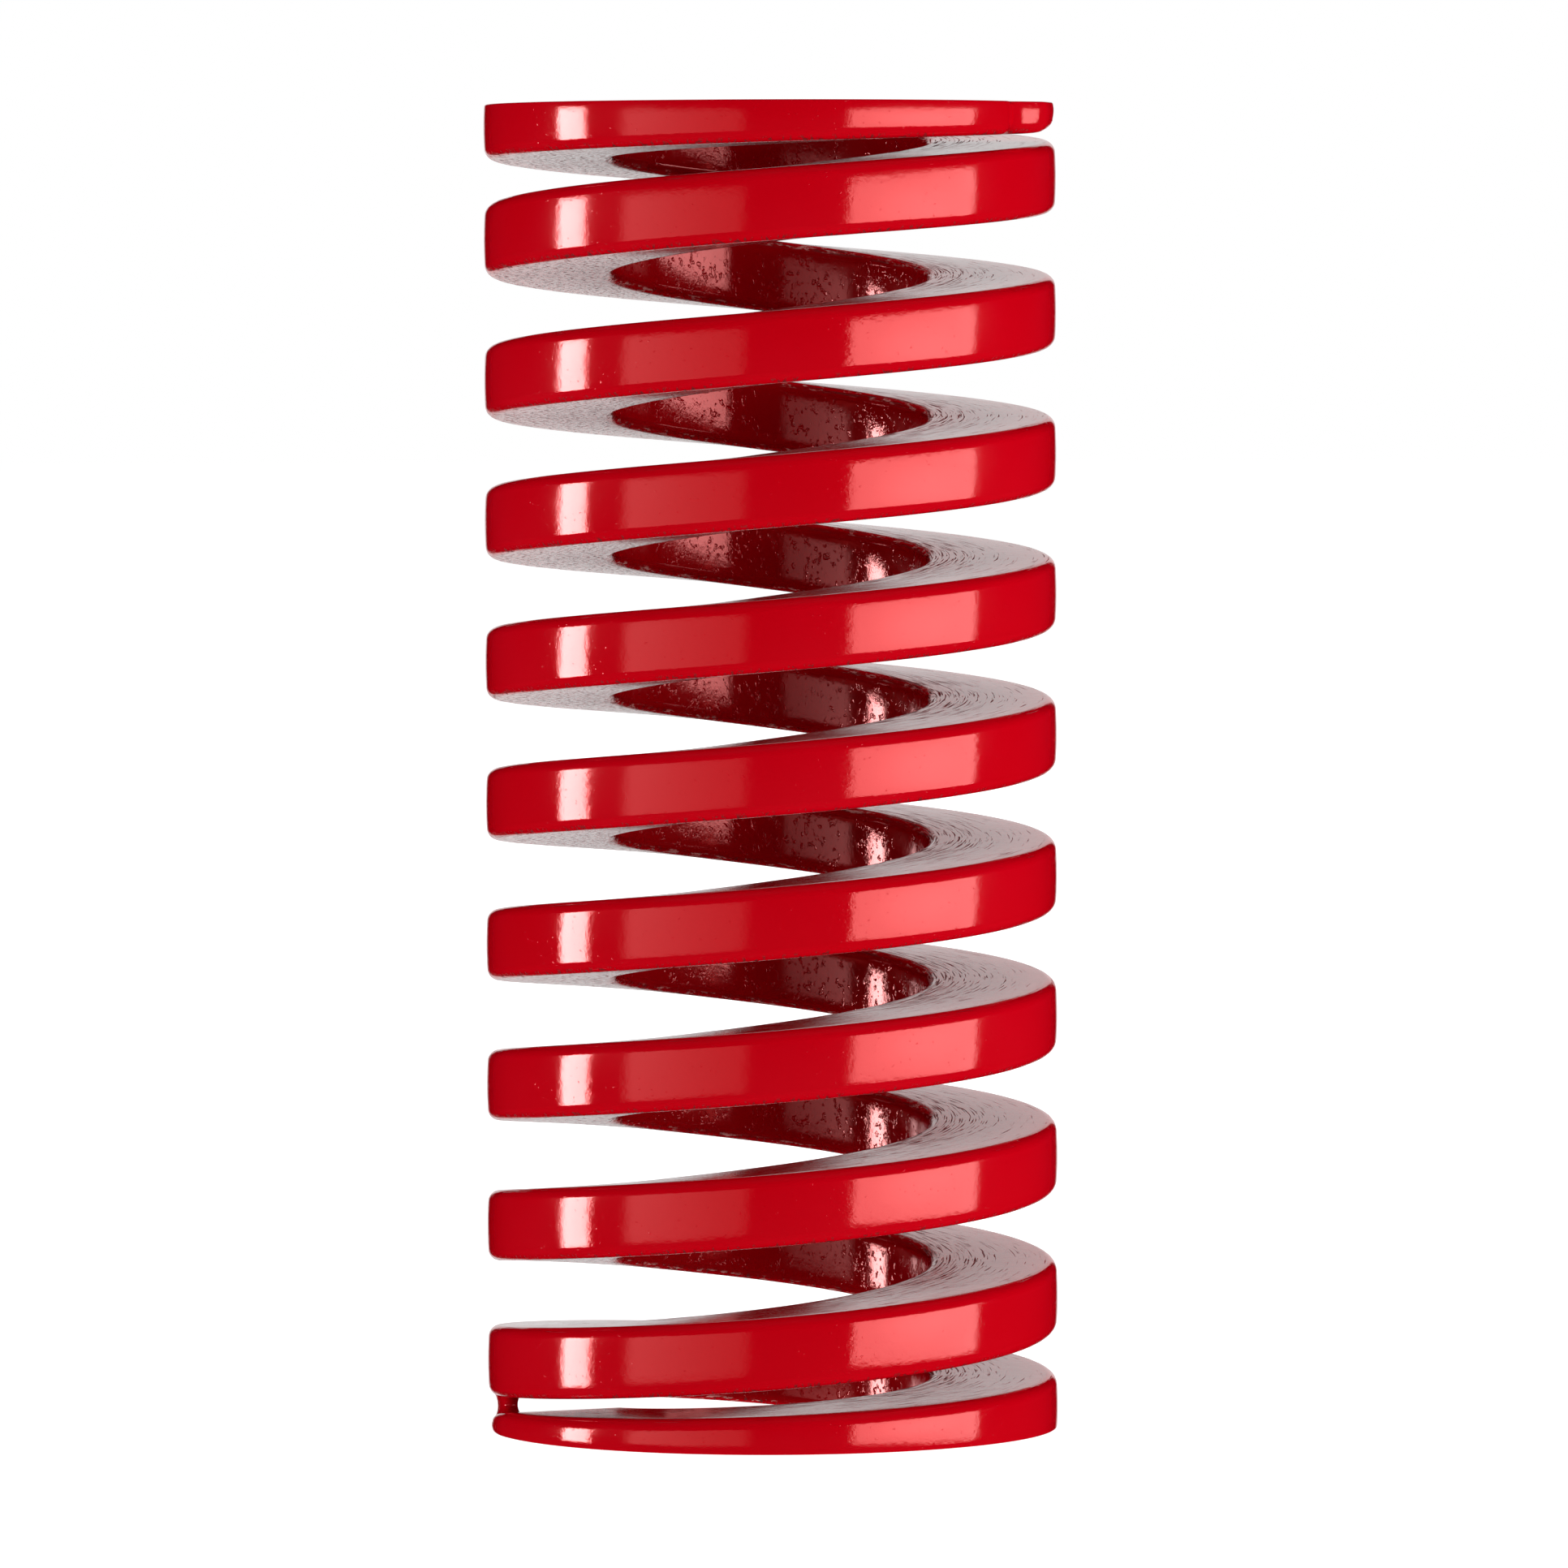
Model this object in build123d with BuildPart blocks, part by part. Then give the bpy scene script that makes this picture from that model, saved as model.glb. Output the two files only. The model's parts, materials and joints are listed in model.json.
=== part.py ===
from build123d import *

import math
import os

# A heavy compression spring for a press tool, wound right-handed from wire of nearly rectangular
# section, with closed and ground ends. It stands on its ground bottom end: the origin is on the
# spring's axis in the plane of that end, and +Z is up the axis.
#
# The wire is one piece in the real spring. Here it is divided on upright planes through the axis
# into an end coil at each end and quarter-turn stretches between them. A plane through the axis
# stays a plane through the axis when one stretch slides up or down beside the next one, so the
# narrow cuts between the stretches keep their width at every length of the spring.

# Driving dimensions, in millimetres and degrees.
FREE_LENGTH = 115.0
OUTER_RADIUS = 24.8
BORE_RADIUS = 13.5
OUTER_THICKNESS = 6.15  # height of the wire at the outer wall
INNER_THICKNESS = 6.35  # height of the wire at the bore, where coiling squeezes it thicker
CORNER_RADIUS = 1.0
TRIM = 0.1 * CORNER_RADIUS  # extra width each side, which finishing to size takes off

TOTAL_TURNS = 10.5
END_TURNS = 1.0  # closed turn at each end, which doesn't work
STRETCHES_PER_TURN = 4
CUT_WIDTH = 0.1  # between two stretches, at the middle of the wire
TIP_ANGLE = 180.0  # where the bottom tip lies, from +X towards +Y

# How fast the wire climbs near each end, as a share of the full pitch, at that many turns from
# the tip. Between two entries the share changes evenly, and after the last one it stays at 1.
# The first entry of each is the steep nose of the tip.
BOTTOM_CLIMB = [(0.0, 2.5), (0.07, 0.46), (0.4, 0.46), (0.6, 0.70), (1.0, 0.74), (1.3, 1.0)]
TOP_CLIMB = [(0.0, 3.9), (0.07, 0.36), (0.4, 0.36), (0.6, 0.76), (1.1, 0.80), (1.4, 1.0)]
TIP_THICKNESS = 1.0  # what grinding leaves of the wire at the very end
SECTION_SPACING = 1 / 24  # turns between two sections of the wire

# Worked out from the driving dimensions.
MIDDLE_RADIUS = (OUTER_RADIUS + BORE_RADIUS) / 2
MIDDLE_THICKNESS = (OUTER_THICKNESS + INNER_THICKNESS) / 2
BOTTOM_TIP_HEIGHT = TIP_THICKNESS - MIDDLE_THICKNESS / 2
TOP_TIP_HEIGHT = FREE_LENGTH - BOTTOM_TIP_HEIGHT
STRETCH = 1.0 / STRETCHES_PER_TURN
HALF_CUT = CUT_WIDTH / (2 * math.pi * MIDDLE_RADIUS) / 2
FIRST_CUT = END_TURNS + STRETCH / 2
LAST_CUT = TOTAL_TURNS - END_TURNS + STRETCH / 2
SIDES = ["front", "right", "back", "left"]


def climbed(climb, turns):
    """Height gained over that many turns from a tip, in full pitches."""
    total = 0.0
    for (start, low), (stop, high) in zip(climb, climb[1:]):
        run = min(turns, stop) - start
        if run > 0:
            reached = low + (high - low) * run / (stop - start)
            total += run * (low + reached) / 2
    return total + max(0.0, turns - climb[-1][0])


PITCH = (TOP_TIP_HEIGHT - BOTTOM_TIP_HEIGHT) / (
    climbed(BOTTOM_CLIMB, TOTAL_TURNS / 2) + climbed(TOP_CLIMB, TOTAL_TURNS / 2)
)


def centre_height(turn):
    """Height of the middle of the wire, that many turns after the bottom tip."""
    if turn < TOTAL_TURNS / 2:
        return BOTTOM_TIP_HEIGHT + PITCH * climbed(BOTTOM_CLIMB, turn)
    return TOP_TIP_HEIGHT - PITCH * climbed(TOP_CLIMB, TOTAL_TURNS - turn)


def outward(turn):
    """Direction from the axis to the wire."""
    angle = math.radians(TIP_ANGLE + 360.0 * turn)
    return Vector(math.cos(angle), math.sin(angle), 0)


def upright_plane(turn):
    """Plane through the axis, with x outward, y up and its origin level with the wire's middle."""
    out = outward(turn)
    return Plane(origin=(0, 0, centre_height(turn)), x_dir=out, z_dir=(out.Y, -out.X, 0))


# Section of the wire, a little over-wide.
with BuildSketch() as wire_section:
    with BuildLine():
        Polyline(
            (BORE_RADIUS - TRIM, -INNER_THICKNESS / 2),
            (OUTER_RADIUS + TRIM, -OUTER_THICKNESS / 2),
            (OUTER_RADIUS + TRIM, OUTER_THICKNESS / 2),
            (BORE_RADIUS - TRIM, INNER_THICKNESS / 2),
            close=True,
        )
    make_face()
    fillet(wire_section.vertices(), radius=CORNER_RADIUS)


def wire_section_at(turn):
    """The wire's section on the upright plane at that turn."""
    with BuildSketch(upright_plane(turn)) as section:
        add(wire_section.sketch)
    return section.sketch


def wind(start, stop):
    """Adds the over-wide wire from one turn to another to the open builder."""
    count = math.ceil((stop - start) / SECTION_SPACING)
    loft([wire_section_at(start + (stop - start) * i / count) for i in range(count + 1)])


def finish_to_size():
    """Trims the open builder to the outer wall, the bore and the two ground ends."""
    with BuildSketch(Plane.XY) as ring:
        Circle(OUTER_RADIUS)
        Circle(BORE_RADIUS, mode=Mode.SUBTRACT)
    extrude(ring.sketch, amount=FREE_LENGTH, mode=Mode.INTERSECT)


def save(piece, name):
    """Labels a finished piece and writes it."""
    piece.part.label = name
    export_step(piece.part, f"parts/{name}.step")


os.makedirs("parts", exist_ok=True)

# Closed and ground coil at the bottom, which the spring stands on.
with BuildPart() as bottom_end_coil:
    wind(0, FIRST_CUT - HALF_CUT)
    finish_to_size()
save(bottom_end_coil, "bottom_end_coil")

# Working coils, a quarter turn at a time, and the start of the closed coil at the top.
stretch_count = round((LAST_CUT - FIRST_CUT) * STRETCHES_PER_TURN)
for index in range(stretch_count):
    low_cut = FIRST_CUT + index * STRETCH
    with BuildPart() as coil:
        wind(low_cut + HALF_CUT, low_cut + STRETCH - HALF_CUT)
        finish_to_size()
    number = 1 + index // STRETCHES_PER_TURN
    save(coil, f"coil_{number}_{SIDES[index % STRETCHES_PER_TURN]}")

# Closed and ground coil at the top.
with BuildPart() as top_end_coil:
    wind(LAST_CUT + HALF_CUT, TOTAL_TURNS)
    finish_to_size()
save(top_end_coil, "top_end_coil")

print(f"pitch {PITCH:.3f} mm, {stretch_count} stretches")
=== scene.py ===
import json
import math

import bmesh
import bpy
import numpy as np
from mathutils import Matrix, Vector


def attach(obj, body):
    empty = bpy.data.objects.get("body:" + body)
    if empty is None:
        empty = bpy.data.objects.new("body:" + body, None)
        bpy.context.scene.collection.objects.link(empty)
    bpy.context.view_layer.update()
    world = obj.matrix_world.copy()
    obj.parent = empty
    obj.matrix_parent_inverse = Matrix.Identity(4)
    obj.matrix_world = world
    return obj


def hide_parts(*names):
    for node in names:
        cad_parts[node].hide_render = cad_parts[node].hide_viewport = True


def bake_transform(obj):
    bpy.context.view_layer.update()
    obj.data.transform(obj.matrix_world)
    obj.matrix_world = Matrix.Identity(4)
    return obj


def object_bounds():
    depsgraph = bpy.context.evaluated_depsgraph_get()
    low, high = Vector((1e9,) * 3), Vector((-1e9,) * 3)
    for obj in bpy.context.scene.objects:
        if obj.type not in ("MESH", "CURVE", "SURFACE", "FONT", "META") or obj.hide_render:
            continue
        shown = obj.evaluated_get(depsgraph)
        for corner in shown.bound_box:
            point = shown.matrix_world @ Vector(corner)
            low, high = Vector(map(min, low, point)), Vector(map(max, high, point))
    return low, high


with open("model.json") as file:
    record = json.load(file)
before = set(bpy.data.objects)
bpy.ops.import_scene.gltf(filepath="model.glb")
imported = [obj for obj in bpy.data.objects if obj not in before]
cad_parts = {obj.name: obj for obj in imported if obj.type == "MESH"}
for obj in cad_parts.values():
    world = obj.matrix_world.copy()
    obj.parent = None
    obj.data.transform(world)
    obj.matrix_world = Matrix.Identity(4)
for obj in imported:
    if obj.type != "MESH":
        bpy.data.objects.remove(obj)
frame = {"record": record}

# A heavy die spring of red painted rectangular wire, standing on its ground bottom end.
#
# The CAD nodes are the wire in quarter-turn stretches with narrow cuts between them. Here each
# node is replaced by a piece of one smooth wire, without the cuts. A small bridge of paint joins
# the bottom tip to the coil above.

MM = 0.001

# Sizes that the frame gives.
cad_low, cad_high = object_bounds()
record = frame["record"]
bore_mount = next(m for m in record["mounts"] if m["name"] == "guide_rod_bore")
couplings = record["behaviour"]["couplings"]
FREE_LENGTH = cad_high.z - cad_low.z
OUTER_RADIUS = (cad_high.x - cad_low.x) / 2
BORE_RADIUS = bore_mount["dims"]["r_mm"] * MM
MIDDLE_RADIUS = (OUTER_RADIUS + BORE_RADIUS) / 2

# Sizes of the wire, as in the CAD model.
OUTER_THICKNESS = 6.15 * MM
INNER_THICKNESS = 6.35 * MM
MIDDLE_THICKNESS = (OUTER_THICKNESS + INNER_THICKNESS) / 2
CORNER_RADIUS = 1.0 * MM
TOTAL_TURNS = 10.5
TIP_ANGLE = math.pi  # where the bottom tip lies, from +X
TIP_THICKNESS = 1.0 * MM

# How fast the wire climbs near each end, as in the CAD model: turns from the tip, and share of
# the full pitch.
BOTTOM_CLIMB = [(0.0, 2.5), (0.07, 0.46), (0.4, 0.46), (0.6, 0.70), (1.0, 0.74), (1.3, 1.0)]
TOP_CLIMB = [(0.0, 3.9), (0.07, 0.36), (0.4, 0.36), (0.6, 0.76), (1.1, 0.80), (1.4, 1.0)]

# Edges that the CAD model leaves sharp or rounds otherwise.
GROUND_EDGE = 0.15 * MM  # how far the edges of a ground end are broken
THIN_CORNER = 0.42  # of the wire's height, the largest corner radius where the wire thins

# How long the pieces are, in turns.
END_TURNS = 1.0  # each end piece, which doesn't stretch
STRETCH = 0.25  # each piece between them

# How finely the wire is divided.
RINGS_PER_TURN = 240
CORNER_COLUMNS = 7
FLAT_COLUMNS = 9
WALL_ROWS = 8

# The blunt nose at each tip of the wire.
NOSE_LENGTH = 0.35 * MM
NOSE_DEPTH = NOSE_LENGTH * 0.9  # how far it draws in
NOSE_RINGS = 4

# Near the top tip the outer wall dips and then flares before it draws in to the nose. The flare
# stands out past OUTER_RADIUS, which the CAD model keeps to. The bottom tip only draws in. Each
# entry is the share of the way to the tip and the change in radius there.
TIP_TURNS = 0.095
BOTTOM_DRAW = [(0.0, 0.0), (0.5, 0.0), (1.0, -0.35 * MM)]
TOP_FLARE = [
    (0.0, 0.0),
    (0.10, -0.60 * MM),
    (0.19, -0.75 * MM),
    (0.40, 0.60 * MM),
    (0.6, 0.40 * MM),
    (1.0, -0.9 * MM),
]
CROWN = 0.06 * MM  # how far the middle of the outer wall stands out from its edges

# The bridge of paint between the bottom tip and the coil above it.
BRIDGE_STATIONS = 12
BRIDGE_ROWS = 12
BRIDGE_TURNS = 0.033
BRIDGE_SPREAD = 0.012  # how much longer it is at its top and foot than at its waist
BRIDGE_WIDTH = 2.2 * MM  # from the outer wall to its inner side
BRIDGE_WAIST = 0.35 * MM  # how far its outer side draws in
BRIDGE_SETBACK = 0.3 * MM  # from the outer wall
BRIDGE_OVERLAP = 0.35 * MM  # how deep its top and foot are sunk in the wire


def climbed(climb, turns):
    """Height gained over those turns from a tip, in full pitches."""
    total = np.zeros_like(turns)
    for (start, low), (stop, high) in zip(climb, climb[1:]):
        run = np.clip(turns - start, 0, stop - start)
        reached = low + (high - low) * run / (stop - start)
        total += run * (low + reached) / 2
    return total + np.maximum(0, turns - climb[-1][0])


BOTTOM_TIP_HEIGHT = TIP_THICKNESS - MIDDLE_THICKNESS / 2
TOP_TIP_HEIGHT = FREE_LENGTH - BOTTOM_TIP_HEIGHT
HALF_TURNS = np.array([TOTAL_TURNS / 2])
PITCH = (TOP_TIP_HEIGHT - BOTTOM_TIP_HEIGHT) / float(
    (climbed(BOTTOM_CLIMB, HALF_TURNS) + climbed(TOP_CLIMB, HALF_TURNS))[0]
)


def centre_height(turns):
    """Height of the middle of the wire."""
    up = BOTTOM_TIP_HEIGHT + PITCH * climbed(BOTTOM_CLIMB, np.maximum(turns, 0))
    down = TOP_TIP_HEIGHT - PITCH * climbed(TOP_CLIMB, np.maximum(TOTAL_TURNS - turns, 0))
    return np.where(turns < TOTAL_TURNS / 2, up, down)


def corner_drop(from_bore, from_wall, radius):
    """How far a rounded corner lies below the flat, by distance from the bore and the outer wall."""
    near = np.minimum(from_bore, from_wall)
    inside = np.clip(radius - near, 0, radius)
    return radius - np.sqrt(np.maximum(radius**2 - inside**2, 0))


def section_shares():
    """Places of a corner's columns and of the flat's, each as shares of its own width."""
    arc = 1 - np.cos(np.linspace(0, math.pi / 2, CORNER_COLUMNS))
    flat = np.linspace(0, 1, FLAT_COLUMNS + 2)[1:-1]
    return arc, flat


def around_axis(angle, r, z):
    """Points at those angles, radii and heights."""
    return np.stack([r * np.cos(angle), r * np.sin(angle), z], axis=2)


def wire_grid(turns, inset):
    """Points of the wire's surface, one ring a turn value, and the same points along a straight wire.

    inset draws a ring in on all sides, which rounds the nose of a tip.
    """
    to_bottom = np.clip(1 - turns / TIP_TURNS, 0, 1)
    to_top = np.clip(1 - (TOTAL_TURNS - turns) / TIP_TURNS, 0, 1)
    drawn = np.interp(to_bottom, *zip(*BOTTOM_DRAW)) + np.interp(to_top, *zip(*TOP_FLARE))
    wall = OUTER_RADIUS - CROWN + drawn - inset
    bore = BORE_RADIUS + inset
    middle = centre_height(turns)
    half = MIDDLE_THICKNESS / 2
    height = np.minimum(middle + half, FREE_LENGTH) - np.maximum(middle - half, 0)
    corner = np.minimum(CORNER_RADIUS, THIN_CORNER * height)

    arc, flat = section_shares()
    inner = bore[:, None] + corner[:, None] * arc
    outer = wall[:, None] - corner[:, None] * arc[::-1]
    first, last = inner[:, -1:], outer[:, :1]
    radius = np.hstack([inner, first + (last - first) * flat, outer])

    share = (radius - BORE_RADIUS) / (OUTER_RADIUS - BORE_RADIUS)
    half = (INNER_THICKNESS + (OUTER_THICKNESS - INNER_THICKNESS) * share) / 2
    from_bore, from_wall = radius - bore[:, None], wall[:, None] - radius
    drop = corner_drop(from_bore, from_wall, corner[:, None])
    edge = corner_drop(from_bore, from_wall, GROUND_EDGE)
    upper = np.minimum(middle[:, None] + half - drop, FREE_LENGTH - edge) - inset[:, None]
    lower = np.maximum(middle[:, None] - half + drop, edge) + inset[:, None]

    down = np.linspace(0, 1, WALL_ROWS + 2)[1:-1]
    wall_rows = upper[:, -1:] + (lower[:, -1:] - upper[:, -1:]) * down
    bore_rows = lower[:, :1] + (upper[:, :1] - lower[:, :1]) * down
    crowned = wall[:, None] + CROWN * (1 - (2 * down - 1) ** 2)
    r = np.hstack([radius, crowned, radius[:, ::-1], np.repeat(bore[:, None], WALL_ROWS, 1)])
    z = np.hstack([upper, wall_rows, lower[:, ::-1], bore_rows])

    points = around_axis(TIP_ANGLE + 2 * math.pi * turns[:, None], r, z)
    along = np.broadcast_to(2 * math.pi * MIDDLE_RADIUS * turns[:, None], r.shape)
    straight = np.stack([along, r - MIDDLE_RADIUS, z - middle[:, None]], axis=2)
    return points, straight


def vertex_normals(points):
    """Normals of a grid of rings, each ring closed."""
    following = np.roll(points, -1, axis=1)
    across = following[1:] - points[:-1]
    back = points[1:] - following[:-1]
    faces = np.cross(across, back)
    faces = np.concatenate([np.zeros_like(faces[:1]), faces, np.zeros_like(faces[:1])])
    total = faces[:-1] + faces[1:]
    total = total + np.roll(total, 1, axis=1)
    return total / np.maximum(np.linalg.norm(total, axis=2, keepdims=True), 1e-12)


def ring_turns(start, stop):
    """(turns, inset, first kept ring, end of kept rings) of a piece from start to stop.

    One ring more at each end that isn't a tip lets the normals run on into the next piece.
    """
    count = round((stop - start) * RINGS_PER_TURN)
    turns = np.linspace(start, stop, count + 1)
    inset = np.zeros_like(turns)
    nose = NOSE_LENGTH / (2 * math.pi * MIDDLE_RADIUS)
    swing = np.linspace(math.pi / 2, 0, NOSE_RINGS + 1)[:-1]
    nose_turns, nose_inset = nose * (1 - np.sin(swing)), NOSE_DEPTH * (1 - np.cos(swing))
    step = 1 / RINGS_PER_TURN
    first, last = 0, None
    if start == 0:
        turns, inset = np.append(nose_turns, turns[1:]), np.append(nose_inset, inset[1:])
    else:
        turns, inset = np.append(start - step, turns), np.append(0, inset)
        first = 1
    if stop == TOTAL_TURNS:
        turns = np.append(turns[:-1], TOTAL_TURNS - nose_turns[::-1])
        inset = np.append(inset[:-1], nose_inset[::-1])
    else:
        turns, inset = np.append(turns, stop + step), np.append(inset, 0)
        last = -1
    return turns, inset, first, last


def corners(rings, loop):
    """The four corners of each face between one ring of loop points and the next."""
    ring, place = np.meshgrid(np.arange(rings - 1), np.arange(loop), indexing="ij")
    follow = (place + 1) % loop
    here, beyond = ring * loop, (ring + 1) * loop
    return here + place, here + follow, beyond + follow, beyond + place


def painted_piece(name, mesh, straight):
    """A smooth red object of that mesh, whose points know their places along a straight wire."""
    mesh.polygons.foreach_set("use_smooth", np.ones(len(mesh.polygons), bool))
    mesh.attributes.new("wire_place", "FLOAT_VECTOR", "POINT").data.foreach_set("vector", straight.ravel())
    mesh.update()
    piece = bpy.data.objects.new(name, mesh)
    bpy.context.scene.collection.objects.link(piece)
    piece.data.materials.append(red_paint)
    return piece


def wire_piece(name, start, stop):
    """A length of the wire from turn start to turn stop, as one mesh, and the turn of each vertex."""
    turns, inset, first, last = ring_turns(start, stop)
    points, straight = wire_grid(turns, inset)
    normals = vertex_normals(points)
    points, straight, normals, turns = (a[first:last] for a in (points, straight, normals, turns))
    rings, loop = points.shape[:2]

    faces = np.stack(corners(rings, loop), axis=2).reshape(-1, 4).tolist()
    vertices = points.reshape(-1, 3)
    normals = normals.reshape(-1, 3)
    straight = straight.reshape(-1, 3)
    vertex_turns = np.repeat(turns, loop)
    for tip, base, outward in ((start == 0, 0, -1), (stop == TOTAL_TURNS, (rings - 1) * loop, 1)):
        if not tip:
            continue
        centre = len(vertices)
        rim = np.arange(loop) + base
        turn = turns[0 if outward < 0 else -1]
        vertices = np.vstack([vertices, vertices[rim].mean(0)])
        straight = np.vstack([straight, straight[rim].mean(0)])
        angle = TIP_ANGLE + 2 * math.pi * turn
        normals = np.vstack([normals, outward * np.array([-math.sin(angle), math.cos(angle), 0])])
        vertex_turns = np.append(vertex_turns, turn)
        for a, b in zip(rim, np.roll(rim, -1)):
            faces.append([centre, int(b), int(a)] if outward < 0 else [centre, int(a), int(b)])

    mesh = bpy.data.meshes.new(name)
    mesh.from_pydata(vertices.tolist(), [], faces)
    piece = painted_piece(name, mesh, straight)
    mesh.normals_split_custom_set_from_vertices(normals.tolist())
    return piece, vertex_turns


def paint_bridge():
    """A waisted web of paint from the tip's upper side to the lower side of the coil above."""
    rise = np.linspace(0, 1, BRIDGE_ROWS)
    bulge = (2 * rise - 1) ** 2
    length = BRIDGE_TURNS + BRIDGE_SPREAD * bulge
    share = np.linspace(0, 1, BRIDGE_STATIONS)[:, None]
    turns = np.broadcast_to(length, (BRIDGE_STATIONS, BRIDGE_ROWS)) * share
    half = MIDDLE_THICKNESS / 2
    foot = centre_height(turns) + half - BRIDGE_OVERLAP
    top = centre_height(turns + 1) - half + BRIDGE_OVERLAP
    z = foot + (top - foot) * rise
    # Its outer side draws in towards the waist, and again towards the end away from the tip.
    outer = OUTER_RADIUS - BRIDGE_SETBACK - BRIDGE_WAIST * (1.5 - bulge) - BRIDGE_WAIST * share**4
    inner = np.full_like(outer, OUTER_RADIUS - BRIDGE_WIDTH)
    r = np.hstack([outer, inner[:, ::-1]])
    z = np.hstack([z, z[:, ::-1]])
    angle = TIP_ANGLE + 2 * math.pi * np.hstack([turns, turns[:, ::-1]])
    points = around_axis(angle, r, z)
    straight = np.stack([angle * MIDDLE_RADIUS, r - MIDDLE_RADIUS, np.zeros_like(r)], axis=2)

    loop = 2 * BRIDGE_ROWS
    near, near_next, far_next, far = corners(BRIDGE_STATIONS, loop)
    faces = np.stack([near, far, far_next, near_next], axis=2).reshape(-1, 4).tolist()
    for start, turned in ((0, False), ((BRIDGE_STATIONS - 1) * loop, True)):
        for i in range(BRIDGE_ROWS - 1):
            cap = [start + i, start + i + 1, start + loop - 2 - i, start + loop - 1 - i]
            faces.append(cap[::-1] if turned else cap)

    mesh = bpy.data.meshes.new("paint_bridge")
    mesh.from_pydata(points.reshape(-1, 3).tolist(), [], faces)
    work = bmesh.new()
    work.from_mesh(mesh)
    bmesh.ops.recalc_face_normals(work, faces=work.faces)
    work.to_mesh(mesh)
    work.free()
    bridge = painted_piece("paint_bridge", mesh, straight)
    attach(bridge, "bottom_end")


# Materials

WALL_REDS = (0.475, 0.0, 0.004, 1), (0.515, 0.0, 0.007, 1)
# The bore's darker red is painted shade.
BORE_SHADE_RED = (0.27, 0.0, 0.002, 1)
GRAIN_RED = (0.06, 0.003, 0.004, 1)
# Pale pink of the chips along the bore's corners, partly a painted glint.
CHIP_GLINT_PINK = (0.60, 0.30, 0.28, 1)
GLOSS = 0.075, 0.11  # roughness, least and most
REFRACTION = 1.8
SPECULAR_TINT = (1.0, 0.30, 0.29, 1)

# Heights from the wire's middle where the look of a flat begins and where it is full.
FLAT_START, FLAT_FULL = 2.5 * MM, 2.95 * MM

# Noise cells per metre, the first three by direction: along the wire, outwards and up.
DASH_CELLS = (260, 6400, 900)
SPOT_CELLS = (4600, 2300, 900)
CHIP_GLINT_CELLS = (700, 2500, 2500)
PATCH_CELLS = 220.0
PIT_CELLS = 1700.0
NIB_CELLS = 3200.0
CLOUD_CELLS = 90.0
PEEL_CELLS = 650.0
FINE_CELLS = 2400.0

# Relief, in metres.
PEEL_HEIGHT = 9e-6
FINE_HEIGHT = 1e-5
NIB_HEIGHT = 8e-6
GRAIN_DEPTH = 3e-5
PIT_DEPTH = 3e-5

MIX_SOCKETS = (0, 6, 7)  # factor and the two colours of a Mix node


def new_material(name):
    """(material, its node tree, its Principled shader)."""
    material = bpy.data.materials.new(name)
    material.use_nodes = True
    return material, material.node_tree, material.node_tree.nodes["Principled BSDF"]


def add(tree, kind, inputs=None, **settings):
    """A new node with its settings and its inputs, which are values or other nodes' outputs."""
    node = tree.nodes.new(kind)
    for key, value in settings.items():
        setattr(node, key, value)
    for key, value in (inputs or {}).items():
        if isinstance(value, bpy.types.NodeSocket):
            tree.links.new(value, node.inputs[key])
        else:
            node.inputs[key].default_value = value
    return node


def math_node(tree, operation, a, b=0.0):
    return add(tree, "ShaderNodeMath", {0: a, 1: b}, operation=operation).outputs[0]


def ramp(tree, value, low, high, to_low=0.0, to_high=1.0):
    """value mapped smoothly from low..high to to_low..to_high."""
    inputs = {"Value": value, "From Min": low, "From Max": high, "To Min": to_low, "To Max": to_high}
    node = add(tree, "ShaderNodeMapRange", inputs, interpolation_type="SMOOTHSTEP")
    return node.outputs["Result"]


def noise(tree, place, scale, detail=2.0, roughness=0.5, stretch=(1, 1, 1)):
    """Noise of scale cells per metre, drawn out by stretch."""
    mapped = add(tree, "ShaderNodeMapping", {"Vector": place, "Scale": stretch}).outputs["Vector"]
    inputs = {"Vector": mapped, "Scale": scale, "Detail": detail, "Roughness": roughness}
    return add(tree, "ShaderNodeTexNoise", inputs).outputs["Fac"]


def mix_colour(tree, factor, a, b):
    node = add(tree, "ShaderNodeMix", data_type="RGBA")
    for index, value in zip(MIX_SOCKETS, (factor, a, b)):
        socket = node.inputs[index]
        if isinstance(value, bpy.types.NodeSocket):
            tree.links.new(value, socket)
        else:
            socket.default_value = value
    return node.outputs[2]


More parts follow.
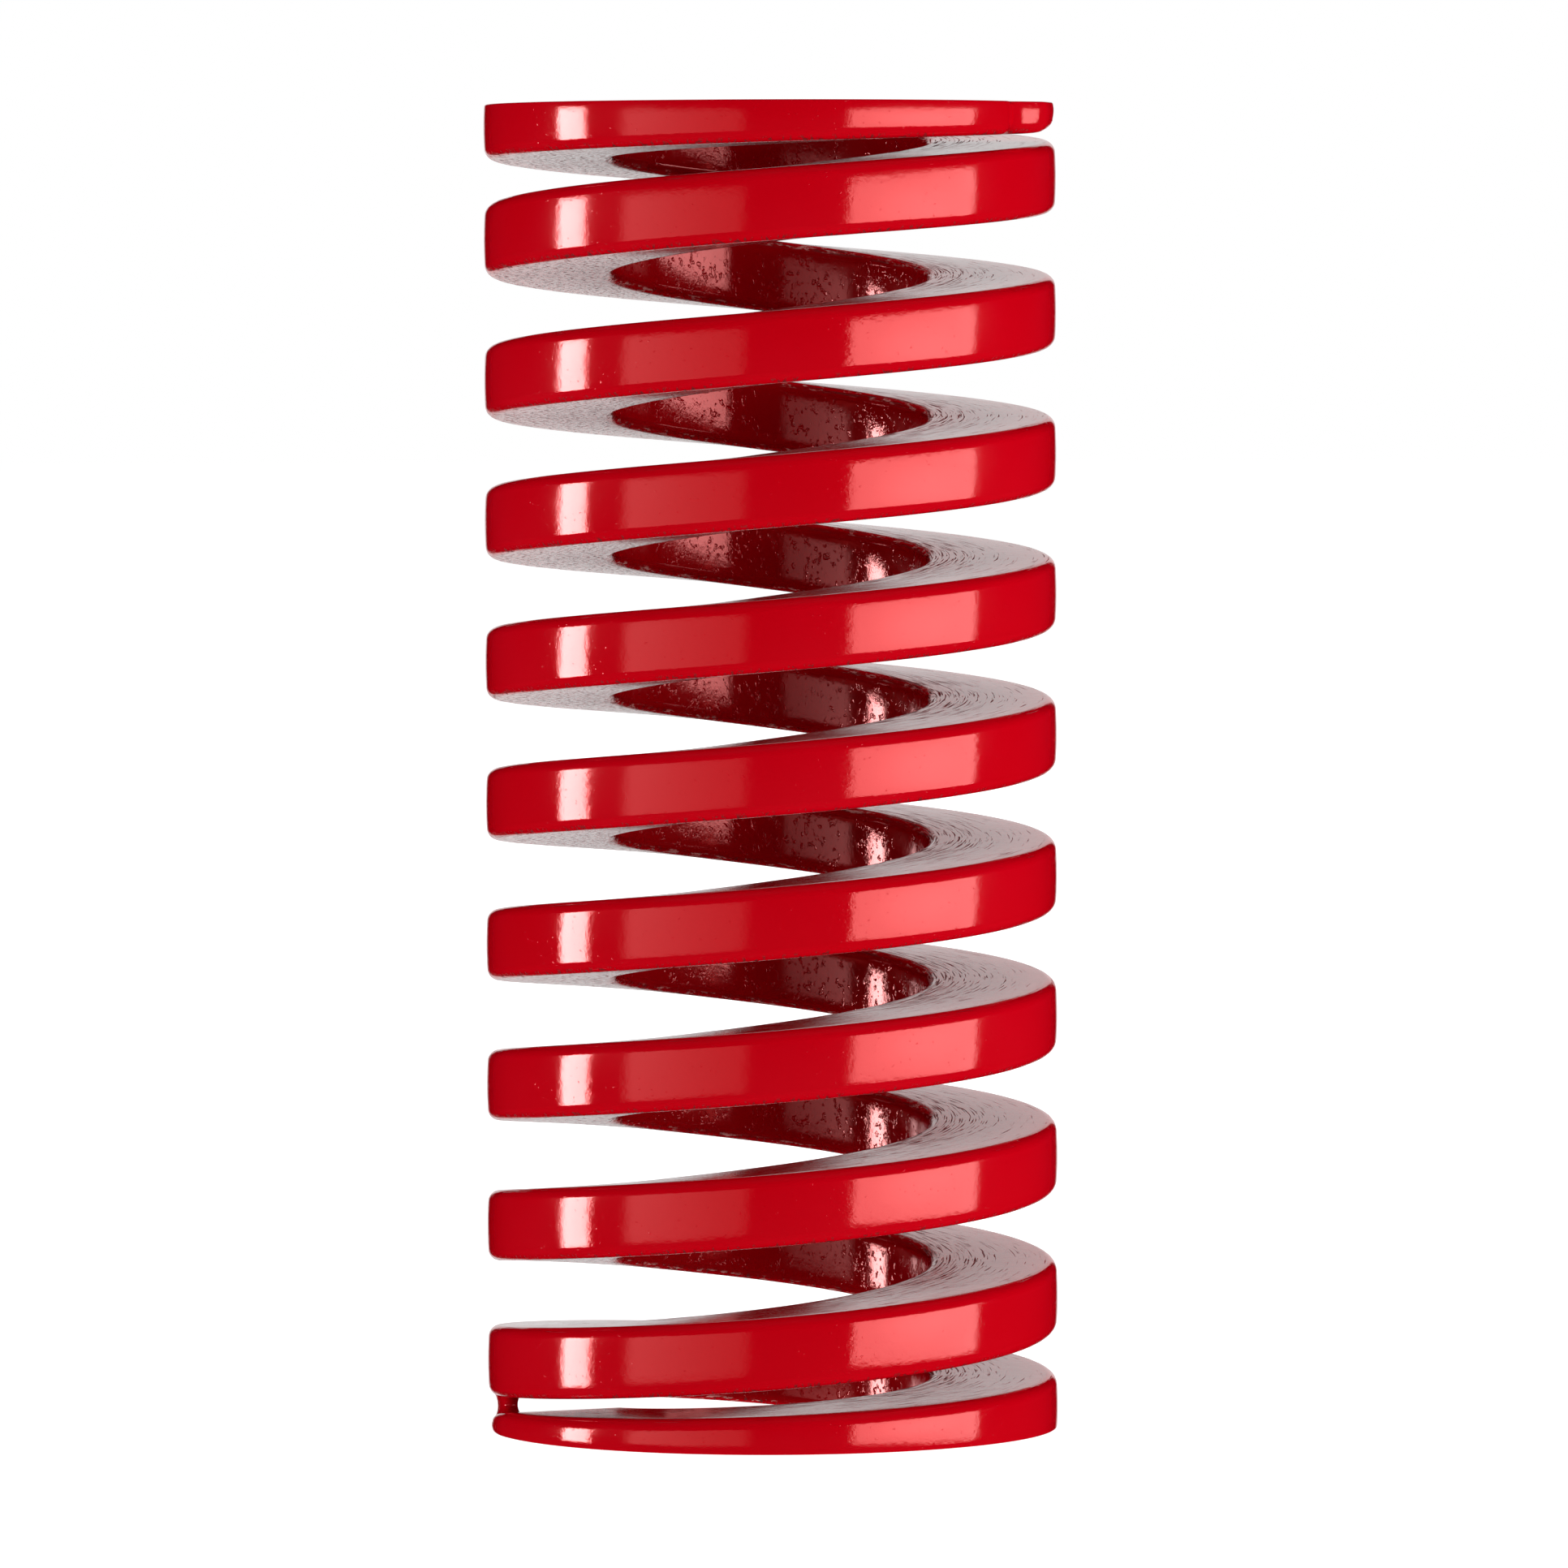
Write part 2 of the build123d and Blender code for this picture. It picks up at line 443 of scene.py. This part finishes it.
def red_paint_material():
    """Thick glossy red paint over drawn wire."""
    material, tree, shader = new_material("red_paint")
    place = add(tree, "ShaderNodeAttribute", attribute_name="wire_place").outputs["Vector"]
    axes = add(tree, "ShaderNodeSeparateXYZ", {0: place})
    outwards, up = axes.outputs["Y"], axes.outputs["Z"]
    half_width = (OUTER_RADIUS - BORE_RADIUS) / 2

    # On the flats the wire's drawn surface shows through: fine dashes along the wire on its upper
    # side, most of them near the bore, and spots all over its lower side.
    flats = ramp(tree, math_node(tree, "ABSOLUTE", up), FLAT_START, FLAT_FULL)
    near_bore = ramp(tree, outwards, -half_width, 0.6 * half_width, 1.0, 0.0)
    above = ramp(tree, up, -0.1 * MM, 0.1 * MM)
    dashes = noise(tree, place, 1.0, 2.0, 0.6, DASH_CELLS)
    spots = noise(tree, place, 1.0, 2.0, 0.6, SPOT_CELLS)
    dash_limit = math_node(tree, "SUBTRACT", 0.63, math_node(tree, "MULTIPLY", near_bore, 0.11))
    dashes = ramp(tree, math_node(tree, "SUBTRACT", dashes, dash_limit), 0.0, 0.12)
    spots = ramp(tree, spots, 0.57, 0.62)
    marks = math_node(
        tree,
        "ADD",
        math_node(tree, "MULTIPLY", dashes, above),
        math_node(tree, "MULTIPLY", spots, math_node(tree, "SUBTRACT", 1.0, above)),
    )
    grain = math_node(tree, "MULTIPLY", flats, marks)

    # In the bore the paint is darker, a painted shade for the little light that reaches inside, and it is
    # pitted in patches.
    bore = ramp(tree, outwards, -half_width + 0.5 * MM, -half_width + 0.2 * MM)
    patches = ramp(tree, noise(tree, place, PATCH_CELLS, 2.0), 0.34, 0.52)
    pitting = ramp(tree, noise(tree, place, PIT_CELLS, 2.0), 0.56, 0.72)
    pits = math_node(tree, "MULTIPLY", math_node(tree, "MULTIPLY", bore, patches), pitting)

    # Small nibs in the paint, all over.
    nibs = ramp(tree, noise(tree, place, NIB_CELLS, 1.0), 0.70, 0.76)

    # Chipped paint along the corners of the bore, in a pale pink that is partly a painted glint on those
    # edges.
    corner = math_node(
        tree,
        "ADD",
        math_node(tree, "DIVIDE", outwards, -half_width),
        math_node(tree, "DIVIDE", math_node(tree, "ABSOLUTE", up), MIDDLE_THICKNESS / 2),
    )
    at_corner = ramp(tree, corner, 1.82, 1.87)
    chip_glint_spots = ramp(tree, noise(tree, place, 1.0, 4.0, 0.65, CHIP_GLINT_CELLS), 0.55, 0.62)
    chips_and_glints = math_node(tree, "MULTIPLY", at_corner, chip_glint_spots)

    cloud = noise(tree, place, CLOUD_CELLS, 3.0)
    red = mix_colour(tree, cloud, *WALL_REDS)
    # Painted shade: the bore is darkened.
    red = mix_colour(tree, bore, red, BORE_SHADE_RED)
    red = mix_colour(tree, math_node(tree, "MULTIPLY", grain, 0.75), red, GRAIN_RED)
    # Chips along the bore's corners, lightened to pink as a painted glint.
    red = mix_colour(tree, math_node(tree, "MULTIPLY", chips_and_glints, 0.8), red, CHIP_GLINT_PINK)
    tree.links.new(red, shader.inputs["Base Color"])

    dull_grain = math_node(tree, "MULTIPLY", grain, 0.6)
    dull_chips_and_glints = math_node(tree, "MULTIPLY", chips_and_glints, 0.25)
    matt = math_node(tree, "ADD", dull_grain, dull_chips_and_glints)
    gloss = ramp(tree, cloud, 0.3, 0.7, *GLOSS)
    tree.links.new(math_node(tree, "ADD", gloss, matt), shader.inputs["Roughness"])

    # Orange peel, a finer unevenness and the nibs stand up. The grain and the pits are sunk.
    peel = math_node(tree, "MULTIPLY", noise(tree, place, PEEL_CELLS, 2.0), PEEL_HEIGHT)
    fine = math_node(tree, "MULTIPLY", noise(tree, place, FINE_CELLS, 3.0, 0.65), FINE_HEIGHT)
    raised = math_node(tree, "MULTIPLY", nibs, NIB_HEIGHT)
    relief = math_node(tree, "ADD", math_node(tree, "ADD", peel, fine), raised)
    relief = math_node(tree, "SUBTRACT", relief, math_node(tree, "MULTIPLY", grain, GRAIN_DEPTH))
    relief = math_node(tree, "SUBTRACT", relief, math_node(tree, "MULTIPLY", pits, PIT_DEPTH))
    bump = add(tree, "ShaderNodeBump", {"Strength": 1.0, "Distance": 1.0, "Height": relief})
    tree.links.new(bump.outputs["Normal"], shader.inputs["Normal"])
    shader.inputs["IOR"].default_value = REFRACTION
    shader.inputs["Specular Tint"].default_value = SPECULAR_TINT
    return material


def floor_material():
    """White acrylic, lit from below, so that it stays white up to the horizon."""
    material, tree, shader = new_material("lit_acrylic")
    place = add(tree, "ShaderNodeTexCoord").outputs["Object"]
    cloud = noise(tree, place, 60.0, 4.0)
    white = mix_colour(tree, cloud, (0.34, 0.34, 0.34, 1), (0.36, 0.36, 0.36, 1))
    tree.links.new(white, shader.inputs["Base Color"])
    shader.inputs["Roughness"].default_value = 0.9
    shader.inputs["Emission Color"].default_value = (1, 1, 1, 1)
    shader.inputs["Emission Strength"].default_value = 1.0
    return material


# The spring


def build_spring():
    """One piece for each CAD node. The two end pieces move with their own bodies."""
    bottom, _ = wire_piece("wire_bottom_end", 0.0, END_TURNS)
    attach(bottom, "bottom_end")
    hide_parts("bottom_end_coil")

    for index, coupling in enumerate(couplings):
        body = coupling["joint"].removesuffix("_travel")
        start = END_TURNS + index * STRETCH
        piece, turns = wire_piece(f"wire_{body}", start, start + STRETCH)
        stretch_with_spring(piece)
        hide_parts(body)

    top, _ = wire_piece("wire_top_end", TOTAL_TURNS - END_TURNS, TOTAL_TURNS)
    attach(top, "top_end")
    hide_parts("top_end_coil")


def stretch_with_spring(piece):
    """Bakes the piece's placement into its mesh.
    """
    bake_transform(piece)


# The studio

PANEL_DISTANCE = 1.7  # from the spring's axis
PANEL_HEIGHT = 0.62  # of the three at the front and sides that the paint mirrors
FILL_HEIGHT = 1.0
BACKDROP_HEIGHT = 1.6
LIGHT_CENTRE = -0.02  # height of every panel's middle, a little below the floor
CEILING_SIZE = 3.0
CEILING_HEIGHT = 1.9
FLOOR_SIDES = 96
FLOOR_RADIUS = 6.0
CAMERA_PLACE = (1.1 * MM, -1.0, 98.05 * MM)
CAMERA_TILT = 0.0420  # radians down from level
CAMERA_ROLL = -0.00265
CAMERA_SENSOR = 36.0  # mm, as is the lens
CAMERA_LENS = 264.5


def panel(name, azimuth, spread, height, radiance, seen, fade=0.02, lean=0.0, glow=0.0):
    """An upright soft panel that faces the spring, azimuth degrees round from the camera to its right.

    seen says whether glossy paint mirrors it; a panel that isn't seen lights the paint instead.
    fade is the share of its width over which it dims towards each side, lean how much brighter it
    is at the camera's left and dimmer at its right, and glow how much brighter its middle is.
    """
    light = bpy.data.lights.new(name, "AREA")
    light.shape = "RECTANGLE"
    light.size = 2 * PANEL_DISTANCE * math.tan(math.radians(spread / 2))
    light.size_y = height
    light.energy = radiance * math.pi * light.size * light.size_y

    light.use_nodes = True
    tree = light.node_tree
    place = add(tree, "ShaderNodeNewGeometry").outputs["Parametric"]
    across = add(tree, "ShaderNodeSeparateXYZ", {0: place}).outputs["X"]
    from_side = math_node(tree, "MINIMUM", across, math_node(tree, "SUBTRACT", 1.0, across))
    strength = ramp(tree, from_side, 0.0, fade)
    leaning = ramp(tree, across, 0.0, 1.0, 1.0 + lean, 1.0 - lean)
    strength = math_node(tree, "MULTIPLY", strength, leaning)
    offset = add(tree, "ShaderNodeVectorMath", {0: place, 1: (0.5, 0.5, 0.0)}, operation="DISTANCE")
    middle = ramp(tree, offset.outputs["Value"], 0.05, 0.45, 1.0 + glow, 1.0)
    strength = math_node(tree, "MULTIPLY", strength, middle)
    tree.links.new(strength, tree.nodes["Emission"].inputs["Strength"])

    lamp = bpy.data.objects.new(name, light)
    a = math.radians(azimuth)
    lamp.location = (PANEL_DISTANCE * math.sin(a), -PANEL_DISTANCE * math.cos(a), LIGHT_CENTRE)
    lamp.rotation_euler = (math.pi / 2, 0, a)
    lamp.visible_camera = False
    lamp.visible_diffuse = not seen
    lamp.visible_glossy = seen
    bpy.context.scene.collection.objects.link(lamp)


def ceiling(radiance):
    """A soft square light overhead, which lights the paint and isn't mirrored in it."""
    light = bpy.data.lights.new("ceiling", "AREA")
    light.size = CEILING_SIZE
    light.energy = radiance * math.pi * CEILING_SIZE**2
    lamp = bpy.data.objects.new("ceiling", light)
    lamp.location = (0, 0, CEILING_HEIGHT)
    lamp.visible_camera = False
    lamp.visible_glossy = False
    bpy.context.scene.collection.objects.link(lamp)


def build_studio():
    """A white surround that only the camera sees, and the lamps."""
    world = bpy.data.worlds.new("white_surround")
    world.use_nodes = True
    world.node_tree.nodes["Background"].inputs["Color"].default_value = (1, 1, 1, 1)
    world.node_tree.nodes["Background"].inputs["Strength"].default_value = 1.0
    bpy.context.scene.world = world
    world.cycles_visibility.glossy = False
    world.cycles_visibility.diffuse = False

    panel("strip_left", -86.4, 15.4, PANEL_HEIGHT, 21.0, seen=True, fade=0.08)
    panel("soft_left", -35.5, 56, PANEL_HEIGHT, 1.05, seen=True, fade=0.12, lean=0.45)
    panel("soft_right", 61.2, 59, PANEL_HEIGHT, 4.9, seen=True, glow=0.30)
    panel("backdrop_glow", 180, 24, BACKDROP_HEIGHT, 0.8, seen=True)
    panel("fill_left", -72, 60, FILL_HEIGHT, 4.1, seen=False)
    panel("fill_right", 72, 60, FILL_HEIGHT, 8.0, seen=False)
    panel("fill_back", 180, 90, FILL_HEIGHT, 3.2, seen=False)
    ceiling(1.4)


def build_floor():
    """A round white floor under the spring."""
    around = [2 * math.pi * i / FLOOR_SIDES for i in range(FLOOR_SIDES)]
    rim = [(FLOOR_RADIUS * math.cos(a), FLOOR_RADIUS * math.sin(a), 0.0) for a in around]
    mesh = bpy.data.meshes.new("floor")
    mesh.from_pydata(rim, [], [list(range(FLOOR_SIDES))])
    floor = bpy.data.objects.new("floor", mesh)
    floor.data.materials.append(floor_material())
    floor.visible_glossy = False
    bpy.context.scene.collection.objects.link(floor)


def build_camera():
    """A long lens, a little below the top of the spring and looking slightly down."""
    data = bpy.data.cameras.new("camera")
    data.sensor_width = CAMERA_SENSOR
    data.lens = CAMERA_LENS
    forward = np.array([0, math.cos(CAMERA_TILT), -math.sin(CAMERA_TILT)])
    level_up = np.array([0, math.sin(CAMERA_TILT), math.cos(CAMERA_TILT)])
    level_right = np.array([1.0, 0, 0])
    right = level_right * math.cos(CAMERA_ROLL) + level_up * math.sin(CAMERA_ROLL)
    up = level_up * math.cos(CAMERA_ROLL) - level_right * math.sin(CAMERA_ROLL)
    turn = Matrix([list(row) for row in np.stack([right, up, -forward], axis=1)])
    camera = bpy.data.objects.new("camera", data)
    camera.matrix_world = Matrix.Translation(CAMERA_PLACE) @ turn.to_4x4()
    bpy.context.scene.collection.objects.link(camera)
    bpy.context.scene.camera = camera


red_paint = red_paint_material()
build_spring()
paint_bridge()
build_studio()
build_floor()
build_camera()
bpy.context.scene.view_settings.view_transform = "Standard"
